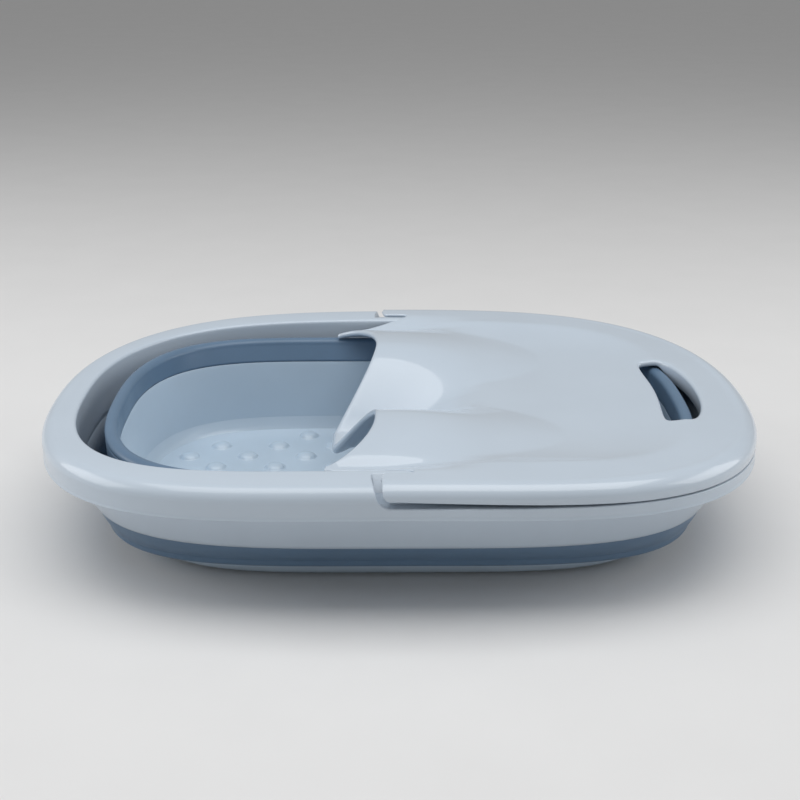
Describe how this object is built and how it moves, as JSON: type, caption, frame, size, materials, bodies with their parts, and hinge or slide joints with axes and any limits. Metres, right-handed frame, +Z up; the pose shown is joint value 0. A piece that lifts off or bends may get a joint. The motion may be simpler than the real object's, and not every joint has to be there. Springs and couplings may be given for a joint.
{
  "type": "foot spa basin",
  "caption": "Oval collapsible foot bath, folded flat: rigid rim, folding rubber belt, bumped base tub and a lift-off half lid with leg arches and a hand hole.",
  "frame": {"origin": "on the floor under the middle of the basin", "axes": "+X towards the lidded end along the basin's length, +Y across it, +Z up"},
  "size_m": [0.51, 0.393, 0.101],
  "materials": {
    "lid_plastic": "satin moulded plastic, pale grey blue",
    "rim_plastic": "satin moulded plastic, pale grey blue",
    "tub_plastic": "satin moulded plastic, mid slate blue",
    "belt_rubber": "soft matt rubber, dark slate blue",
    "pad_rubber": "matt rubber, dark grey"
  },
  "bodies": {
    "base": {"base_tub": "tub_plastic", "belt_inner_fold": "belt_rubber", "belt_middle_fold": "belt_rubber", "antislip_pad_open_end_near": "pad_rubber", "antislip_pad_open_end_far": "pad_rubber", "antislip_pad_lid_end_near": "pad_rubber", "antislip_pad_lid_end_far": "pad_rubber"},
    "rim": {"rim_frame": "rim_plastic", "rim_band": "rim_plastic", "belt_outer_fold": "belt_rubber"},
    "lid": {"half_lid": "lid_plastic"}
  },
  "joints": [
    {"name": "rim_lift", "type": "slide", "parent": "base", "child": "rim", "axis": [0, 0, 1], "range_m": [0, 0.12], "deforming": ["belt_middle_fold", "belt_outer_fold"]},
    {"name": "lid_lift", "type": "slide", "parent": "rim", "child": "lid", "axis": [0, 0, 1], "range_m": [0, 0.12]}
  ]
}
